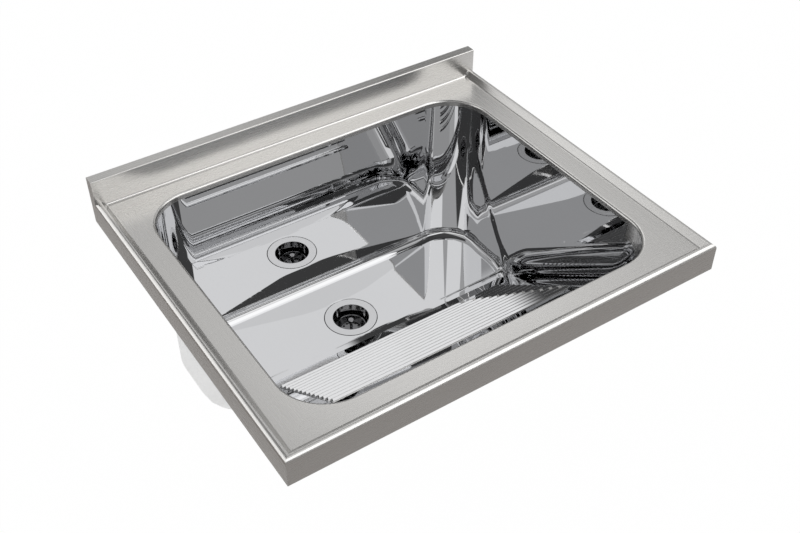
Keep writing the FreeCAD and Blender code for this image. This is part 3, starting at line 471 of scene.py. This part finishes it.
def add_drain_recess(points, faces, normals):
    """Turns the ragged hole round the drain into a true circle with a stepped recess for the flange."""
    search_margin, floor_margin, rim_margin = 12.0, 4.0, 6.0
    gap = np.hypot(points[:, 0], points[:, 1] - DRAIN_Y)
    near = (gap < RECESS_RADIUS + search_margin) & (points[:, 2] < FLOOR + floor_margin)
    rim = [(a, b) for a, b in open_edges(faces) if near[a]]
    after = dict(rim)
    start = rim[0][0]
    loop = [start]
    while after[loop[-1]] != start:
        loop.append(after[loop[-1]])
    angle = np.arctan2(points[loop, 1] - DRAIN_Y, points[loop, 0])

    def circle(radius, drop, from_floor):
        x, y = radius * np.cos(angle), DRAIN_Y + radius * np.sin(angle)
        return np.stack([x, y, FLOOR - drop + from_floor * floor_rise(x, y)], axis=1)

    points[loop] = circle(RECESS_RADIUS + rim_margin, 0.0, 1.0)
    normals[loop] = inward(points[loop])
    rows = [(RECESS_RADIUS + RECESS_ROLL, 0.0, 1.0, 0.0)]
    for turn in (30, 60, 90):
        lean = math.radians(turn)
        radius, drop = RECESS_RADIUS + RECESS_ROLL * (1 - math.sin(lean)), RECESS_ROLL * (1 - math.cos(lean))
        rows.append((radius, drop, 1.0, lean))
    rows += [(RECESS_RADIUS, RECESS_DEPTH, 0.0, math.pi / 2), (HOLE_RADIUS, RECESS_DEPTH, 0.0, 0.0)]
    new_points, new_normals, new_faces = list(points), list(normals), list(faces)
    last = loop
    for radius, drop, from_floor, lean in rows:
        row = list(range(len(new_points), len(new_points) + len(loop)))
        new_points += list(circle(radius, drop, from_floor))
        for a in angle:
            tilt = -math.sin(lean)
            new_normals.append(np.array([tilt * math.cos(a), tilt * math.sin(a), math.cos(lean)]))
        for k in range(len(loop)):
            after_k = (k + 1) % len(loop)
            new_faces.append([last[k], row[k], row[after_k], last[after_k]])
        last = row
    return np.array(new_points), new_faces, np.array(new_normals)


def sheet_piece(name, points, faces, normals, face_material, back_material):
    """A sheet of even thickness: the face, its back and the cut edges between them."""
    count = len(points)
    back = points - normals * SHEET
    edges = open_edges(faces)
    all_faces = list(faces) + [[c + count for c in face[::-1]] for face in faces]
    all_faces += [[b, a, a + count, b + count] for a, b in edges]
    mesh = bpy.data.meshes.new(name)
    mesh.from_pydata((np.concatenate([points, back]) * MM).tolist(), [], all_faces)
    mesh.materials.append(face_material)
    mesh.materials.append(back_material)
    for polygon in mesh.polygons:
        polygon.use_smooth = True
        polygon.material_index = 1 if len(faces) <= polygon.index < 2 * len(faces) else 0
    mesh.normals_split_custom_set_from_vertices(np.concatenate([normals, -normals]).tolist())
    made = bpy.data.objects.new(name, mesh)
    bpy.context.scene.collection.objects.link(made)
    return made


def add_bowl():
    """The drawn bowl and the brushed collar at its front."""
    solid = bowl_skin()
    refine_bends(solid)
    bowl_faces, collar_faces = split_lots(solid)
    solid.verts.index_update()
    points, faces = arrays(bowl_faces)
    points, faces, normals = add_drain_recess(points, faces, inward(points))
    bowl = sheet_piece("bowl_drawn", points, faces, normals, SLOTS["bowl_steel"], COAT)
    points, faces = arrays(collar_faces)
    collar = sheet_piece("collar_drawn", points, faces, inward(points), SLOTS["deck_steel"], COAT)
    solid.free()
    for piece, node, slot in ((bowl, "bowl_shell", "bowl_steel"), (collar, "front_collar", "deck_steel")):
        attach(piece, "sink")
        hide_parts(node)


def rib_rise(across, along):
    """Height of the ribs: a round crest, straight flanks, the lower one steeper, and a round foot."""
    nearest = np.clip(np.round((along - RIB_FIRST) / RIB_PITCH), 0, RIB_COUNT - 1)
    off = along - RIB_FIRST - nearest * RIB_PITCH
    off = np.where(off < 0, off * RIB_STEEP, off)
    away = np.hypot(np.maximum(np.abs(across) - (RIB_HALF - RIB_FOOT), 0), off)
    crest = RIB_HEIGHT - RIB_ROUND + np.sqrt(np.maximum(RIB_ROUND ** 2 - away ** 2, 0))
    flank = RIB_HEIGHT - RIB_DROP - (away - RIB_TURN) * math.tan(RIB_LEAN)
    foot = RIB_ROUND - np.sqrt(np.maximum(RIB_ROUND ** 2 - np.maximum(RIB_FOOT - away, 0) ** 2, 0))
    return np.where(away < RIB_TURN, crest, np.where(away < RIB_FOOT - RIB_TURN, flank, foot))


def add_washboard():
    """The ribbed panel, with rows and columns close together where the ribs turn."""
    ends = np.linspace(RIB_HALF - RIB_FOOT, RIB_HALF, 19)
    side = np.concatenate([np.linspace(0, ends[0] - 1, 9), ends, np.linspace(RIB_HALF + 6, BOARD_HALF, 4)])
    across = np.concatenate([-side[:0:-1], side])
    crest = RIB_ROUND * np.sin(np.linspace(0, RIB_LEAN, 7))
    foot = RIB_FOOT - RIB_ROUND * np.sin(np.linspace(RIB_LEAN, 0, 7))
    half = np.concatenate([crest, np.linspace(crest[-1], foot[0], 5)[1:-1], foot])
    rib = np.concatenate([-half[:0:-1] / RIB_STEEP, half])
    ribs = np.concatenate([RIB_FIRST + k * RIB_PITCH + rib for k in range(RIB_COUNT)])
    low, high = np.linspace(BOARD_START, ribs[0] - 4, 6), np.linspace(ribs[-1] + 4, BOARD_END, 8)
    along = np.concatenate([low, ribs, high])
    grid_x, grid_v = np.meshgrid(across, along, indexing="ij")

    def at(x, v):
        return slope_point(x, v, rib_rise(x, v))

    points = at(grid_x, grid_v)
    step = 0.05
    tangent_x = at(grid_x + step, grid_v) - at(grid_x - step, grid_v)
    tangent_v = at(grid_x, grid_v + step) - at(grid_x, grid_v - step)
    normals = np.cross(tangent_v, tangent_x)
    normals /= np.linalg.norm(normals, axis=-1, keepdims=True)
    if normals[0, 0, 2] < 0:
        normals = -normals
    columns = len(along)
    faces = []
    for i in range(len(across) - 1):
        for j in range(columns - 1):
            corner = i * columns + j
            faces.append([corner, corner + 1, corner + columns + 1, corner + columns])
    first = points.reshape(-1, 3)
    a, b, c = (first[k] for k in faces[0][:3])
    if np.cross(b - a, c - b)[2] < 0:
        faces = [face[::-1] for face in faces]
    steel = SLOTS["bowl_steel"]
    board = sheet_piece("washboard_pressed", first, faces, normals.reshape(-1, 3), steel, COAT)
    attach(board, "sink")
    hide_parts("washboard")


# Camera, floor and light


def add_camera():
    """The photograph's viewpoint, solved from the straight edges of the top."""
    right = Vector((0.832255, -0.554393, -0.000269))
    up = Vector((0.363877, 0.545886, 0.754720))
    back = Vector((-0.418264, -0.628217, 0.656047))
    place = Vector((-0.66924, -1.01723, 1.01481))
    data = bpy.data.cameras.new("camera")
    data.sensor_fit = "HORIZONTAL"
    data.sensor_width = 36.0
    data.lens = 47.933
    camera = bpy.data.objects.new("camera", data)
    bpy.context.scene.collection.objects.link(camera)
    rows = Matrix((right, up, back)).transposed().to_4x4()
    camera.matrix_world = Matrix.Translation(place) @ rows
    bpy.context.scene.camera = camera


def add_floor():
    """A white floor, clear when it is seen from below."""
    mesh = bpy.data.meshes.new("floor")
    reach = 12.0
    corners = [(-reach, -reach), (reach, -reach), (reach, reach), (-reach, reach)]
    mesh.from_pydata([(x, y, STAGE_LEVEL) for x, y in corners], [], [(0, 1, 2, 3)])
    floor = bpy.data.objects.new("floor", mesh)
    bpy.context.scene.collection.objects.link(floor)
    paint, shown_share = 0.9, 0.99
    graph = new_material("floor_white")
    diffuse = graph.node("BsdfDiffuse", {"Color": grey(paint)}).outputs[0]
    glow = graph.node("Emission", {"Color": grey(1.0), "Strength": 1.0}).outputs[0]
    ray = graph.node("LightPath").outputs
    seen = graph.math("MAXIMUM", ray["Is Camera Ray"], ray["Is Glossy Ray"])
    seen = graph.math("MULTIPLY", graph.math("MAXIMUM", seen, ray["Is Transmission Ray"]), shown_share)
    top = graph.node("MixShader", {0: seen, 1: diffuse, 2: glow}).outputs[0]
    under = graph.node("BsdfTransparent").outputs[0]
    below = graph.node("NewGeometry").outputs["Backfacing"]
    mesh.materials.append(graph.finish(graph.node("MixShader", {0: below, 1: top, 2: under}).outputs[0]))


def add_card(name, low, high, colour):
    """A warm grey card just above the floor, which only reflections show."""
    lift = 0.002
    height = STAGE_LEVEL + lift
    corners = [(low[0], low[1]), (high[0], low[1]), (high[0], high[1]), (low[0], high[1])]
    mesh = bpy.data.meshes.new(name)
    mesh.from_pydata([(x, y, height) for x, y in corners], [], [(0, 1, 2, 3)])
    card = bpy.data.objects.new(name, mesh)
    bpy.context.scene.collection.objects.link(card)
    graph = new_material(name)
    mesh.materials.append(graph.finish(graph.node("Emission", {"Color": colour + (1.0,)}).outputs[0]))
    card.visible_camera = False
    card.visible_diffuse = False
    card.visible_shadow = False


def add_strip(name, place, aim, size, radiance):
    """A broad, soft lamp that lights the brushed top only."""
    lamp = bpy.data.lights.new(name, "AREA")
    lamp.shape = "RECTANGLE"
    lamp.size, lamp.size_y = size
    lamp.energy = radiance * math.pi * size[0] * size[1]
    made = bpy.data.objects.new(name, lamp)
    bpy.context.scene.collection.objects.link(made)
    made.location = place
    made.rotation_euler = (Vector(aim) - Vector(place)).to_track_quat("-Z", "Y").to_euler()
    lit = bpy.data.collections.new(name + "_lit")
    for node in ("deck_sheet", "upstand_end_left", "upstand_end_right"):
        lit.objects.link(NODES[node])
    made.light_linking.receiver_collection = lit


def add_world():
    """A dark room with grey and white panels on a plane overhead, for the polish to show."""
    world = bpy.data.worlds.new("studio")
    bpy.context.scene.world = world
    graph = Graph(world, "OutputWorld")
    axes = graph.node("SeparateXYZ", {0: graph.node("TexCoord").outputs["Generated"]}).outputs
    least_rise, edge = 0.02, 0.015
    rise = graph.math("MAXIMUM", axes["Z"], least_rise)
    across = graph.math("DIVIDE", axes["X"], rise)
    away = graph.math("DIVIDE", axes["Y"], rise)

    def beyond(value, limit, soft=edge):
        return graph.span(value, limit - soft, limit + soft, smooth=True)

    def before(value, limit, soft=edge):
        return graph.span(value, limit - soft, limit + soft, 1.0, 0.0, smooth=True)

    def both(first, second):
        return graph.math("MULTIPLY", first, second)

    def panel(left, right, front, back):
        wide = both(beyond(across, left), before(across, right))
        return both(wide, both(beyond(away, front), before(away, back)))

    dark_room = 0.06
    left_wall = panel(-1.25, -0.50, -1.30, 0.65)
    ceiling = panel(-0.60, 0.62, 0.20, 0.75)
    softbox = panel(0.20, 0.62, -0.60, 0.20)
    softbox_front = panel(0.20, 0.64, -0.85, -0.60)
    front_screen = panel(-0.55, 0.64, -1.40, -0.82)
    lean = graph.math("ADD", across, graph.math("MULTIPLY", away, 0.8))
    left_band = both(both(beyond(lean, -1.62), before(lean, -1.18)), panel(-3.0, 3.0, -0.85, 0.2))
    left_window = panel(-3.0, -0.90, 0.30, 0.75)
    front_patch = panel(0.40, 1.00, -2.20, -1.75)
    low_ring = before(axes["Z"], 0.38, 0.03)
    back_wide = both(beyond(across, 0.12, 0.06), before(across, 0.80, 0.03))
    back_screen = both(back_wide, beyond(away, 0.72, 0.05))
    back_level = graph.span(away, 1.1, 1.4, 0.92, 0.66)
    level = dark_room
    for mask, strength in (
        (left_wall, 0.46),
        (ceiling, 0.39),
        (softbox, 1.2),
        (softbox_front, 0.85),
        (front_screen, 0.95),
        (left_band, 0.95),
        (left_window, 0.88),
        (front_patch, 0.58),
        (low_ring, 0.28),
        (back_screen, back_level),
    ):
        level = graph.blend(mask, level, strength)
    ray = graph.node("LightPath").outputs
    level = graph.blend(ray["Is Glossy Ray"], PLAIN, level)
    level = graph.blend(graph.math("MAXIMUM", ray["Is Camera Ray"], ray["Is Transmission Ray"]), level, 1.0)
    colour = graph.node("CombineColor", {0: level, 1: level, 2: level}).outputs[0]
    graph.finish(graph.node("Background", {"Color": colour}).outputs[0])


paint_nodes()
add_bowl()
add_washboard()
add_camera()
add_floor()
add_card("front_card", (-2.0, -6.0), (3.0, -0.45), (0.368, 0.350, 0.339))
add_card("left_card", (-6.0, -0.45), (-0.45, 2.0), (0.275, 0.255, 0.240))
add_strip("front_strip", (0.75, -1.05, 1.02), (0.0, -0.30, 0.04), (2.4, 1.2), 1.75)
add_strip("left_strip", (-1.25, 0.85, 0.50), (-0.35, 0.0, 0.04), (1.7, 1.3), 1.2)
add_strip("top_strip", (0.85, 0.25, 1.20), (0.0, -0.27, 0.04), (1.8, 0.6), 0.5)
add_strip("right_strip", (1.40, 0.80, 0.92), (0.33, 0.0, 0.04), (1.0, 1.0), 0.6)
add_world()
bpy.context.scene.view_settings.view_transform = "Standard"
